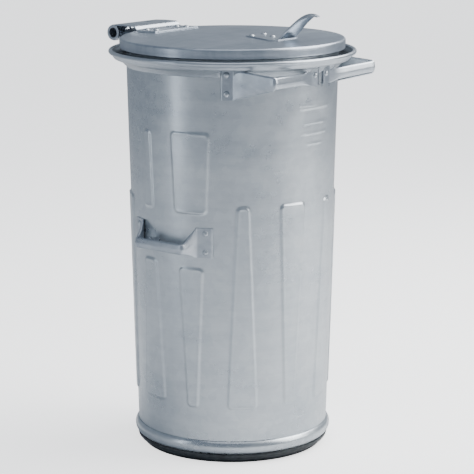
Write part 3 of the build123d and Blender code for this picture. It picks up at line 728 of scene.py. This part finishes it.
def add_rivet(builder, seat, direction, grip):
    """A domed rivet head on a seat, with its shank and upset end at the other side of the sheets."""
    rivet = bmesh.new()
    tail = [
        (0.0030, 0.0), (0.0030, -grip), (0.0048, -grip), (0.0042, -grip - 0.0016), (0.0, -grip - 0.0018),
    ]
    verts = [rivet.verts.new((r, 0, z)) for r, z in DOME_LINE + tail]
    edges = [rivet.edges.new(pair) for pair in zip(verts, verts[1:])]
    bmesh.ops.spin(
        rivet, geom=verts + edges, cent=(0, 0, 0), axis=(0, 0, 1), angle=math.tau,
        steps=20, use_merge=True,
    )
    bmesh.ops.remove_doubles(rivet, verts=rivet.verts, dist=1e-6)
    bmesh.ops.recalc_face_normals(rivet, faces=rivet.faces)
    turned = direction.to_track_quat("Z", "Y").to_matrix().to_4x4()
    bmesh.ops.transform(rivet, matrix=Matrix.Translation(seat) @ turned, verts=rivet.verts)
    mesh = bpy.data.meshes.new("rivet_form")
    rivet.to_mesh(mesh)
    rivet.free()
    builder.from_mesh(mesh)
    bpy.data.meshes.remove(mesh)


for name, (bearing, hand, form) in HANDLES.items():
    handle_bow(name, bearing, hand, form)
    half_span = math.radians(form["ends"][0] - form["ends"][1]) / 2
    seat_distance = (wall_radius(form["top"]) + HANDLE_SHEET) * math.cos(half_span)
    rivet_builder = bmesh.new()
    for turn, z in form["rivets"]:
        angle = math.radians(bearing - hand * turn)
        direction = Vector((math.sin(angle), -math.cos(angle), 0))
        grip = seat_distance - wall_radius(z) + 0.0033
        add_rivet(rivet_builder, direction * seat_distance + Vector((0, 0, z)), direction, grip)
    new_piece(
        f"{name}_rivet_heads", rivet_builder, "bin", [f"{name}_rivets"], RIVET_ZINC
    )


# ---- Lid ----------------------------------------------------------------------------------
# The lid is a spun steel disc with a low crown, a rounded shoulder and a short skirt whose edge is
# curled in over a wire. The crown has a slight buckle. Galvanised.
def crown_z(radius):
    """Height of the lid's crowned top at a radius."""
    return 0.8595 - 0.0055 * (radius / 0.227) ** 2


crown_radii = [0.227 * (i / 26) for i in range(27)]
shoulder = arc_line((0.227, 0.854), (0.2309, 0.8524), (0.2325, 0.8485), 8)
lid_outer = [(r, crown_z(r)) for r in crown_radii] + shoulder[1:] + [(0.2325, 0.8440), (0.2323, 0.8402)]
hem_turns = [math.radians(25 - 250 * i / 12) for i in range(13)]
lid_hem = [(0.2292 + 0.0026 * math.cos(a), 0.8342 + 0.0024 * math.sin(a)) for a in hem_turns]
lid_inner = [(0.2306, 0.8400), (0.2310, 0.8480), (0.2298, 0.8512), (0.2268, 0.8525)]
lid_inner += [(r, crown_z(r) - 0.0015) for r in crown_radii[-2::-3]]
lid_builder = bmesh.new()
spin_line(lid_builder, lid_outer + lid_hem + lid_inner, 300)
for vert in lid_builder.verts:
    radius = math.hypot(vert.co.x, vert.co.y)
    if radius < 0.222:
        buckle = noise.noise(Vector((vert.co.x * 7, vert.co.y * 7, 1.3)))
        vert.co.z += 0.0004 * buckle * soft_step((0.222 - radius) / 0.04) - 0.0002
bmesh.ops.recalc_face_normals(lid_builder, faces=lid_builder.faces)
new_piece("lid_spinning", lid_builder, "lid", ["lid_shell"], LID_ZINC)


# ---- Pressed fittings of the lid and hinge --------------------------------------------------
# The strap, bracket, tongue and plates are cut and bent from thick strip; their edges are eased by
# the zinc. They are riveted to the lid or the collar. Galvanised steel.
def eased_copy(name, node, body, ease):
    """A carried-over piece with merged faces and eased edges."""
    builder = bmesh.new()
    builder.from_mesh(nodes[node].data)
    bmesh.ops.transform(builder, matrix=nodes[node].matrix_world, verts=builder.verts)
    bmesh.ops.remove_doubles(builder, verts=builder.verts, dist=2e-6)
    bmesh.ops.dissolve_limit(
        builder, angle_limit=math.radians(0.6), verts=builder.verts, edges=builder.edges
    )
    sharp = [
        edge for edge in builder.edges
        if len(edge.link_faces) == 2 and edge.calc_face_angle(0) > math.radians(34)
    ]
    bmesh.ops.bevel(
        builder, geom=sharp, offset=ease, offset_type="OFFSET", segments=2, profile=0.5,
        affect="EDGES", material=-1, clamp_overlap=True,
    )
    bmesh.ops.recalc_face_normals(builder, faces=builder.faces)
    piece = new_piece(name, builder, body, [node], FITTING_ZINC)
    piece.modifiers.new("even_shading", "WEIGHTED_NORMAL").keep_sharp = False
    return piece


eased_copy("hinge_strap_pressing", "hinge_strap", "lid", 0.0007)
eased_copy("hinge_bracket_pressing", "hinge_bracket", "bin", 0.0006)
eased_copy("hinge_tube_turning", "hinge_tube", "bin", 0.0005)
eased_copy("lift_tongue_pressing", "lift_tongue", "lid", 0.0007)

STRAP_RIVETS = [(side * 0.048, y) for side in (-1, 1) for y in (0.166, 0.192)]
TONGUE_RIVETS = [(-0.020, -0.066), (0.020, -0.066), (0.0, -0.104)]
UP = Vector((0, 0, 1))
for name, spots, plate in (
    ("hinge_strap_rivets", STRAP_RIVETS, 0.0032),
    ("lift_tongue_rivets", TONGUE_RIVETS, 0.0025),
):
    rivet_builder = bmesh.new()
    for x, y in spots:
        level = crown_z(abs(y)) if plate > 0.003 else crown_z(math.hypot(x, y))
        add_rivet(rivet_builder, Vector((x, y, level + plate)), UP, plate + 0.0035)
    new_piece(f"{name[:-1]}_heads", rivet_builder, "lid", [name], RIVET_ZINC)
BRACKET_RIVET_BEARINGS = (174.2, 180.0, 185.8)
BRACKET_RIVET_RADIUS, BRACKET_RIVET_Z, BRACKET_GRIP = 0.235, 0.8154, 0.0060
rivet_builder = bmesh.new()
for bearing in BRACKET_RIVET_BEARINGS:
    turn = math.radians(bearing)
    seat = Vector((
        BRACKET_RIVET_RADIUS * math.sin(turn), -BRACKET_RIVET_RADIUS * math.cos(turn), BRACKET_RIVET_Z,
    ))
    add_rivet(rivet_builder, seat, UP, BRACKET_GRIP)
new_piece(
    "hinge_bracket_rivet_heads", rivet_builder, "bin", ["hinge_bracket_rivets"],
    RIVET_ZINC,
)
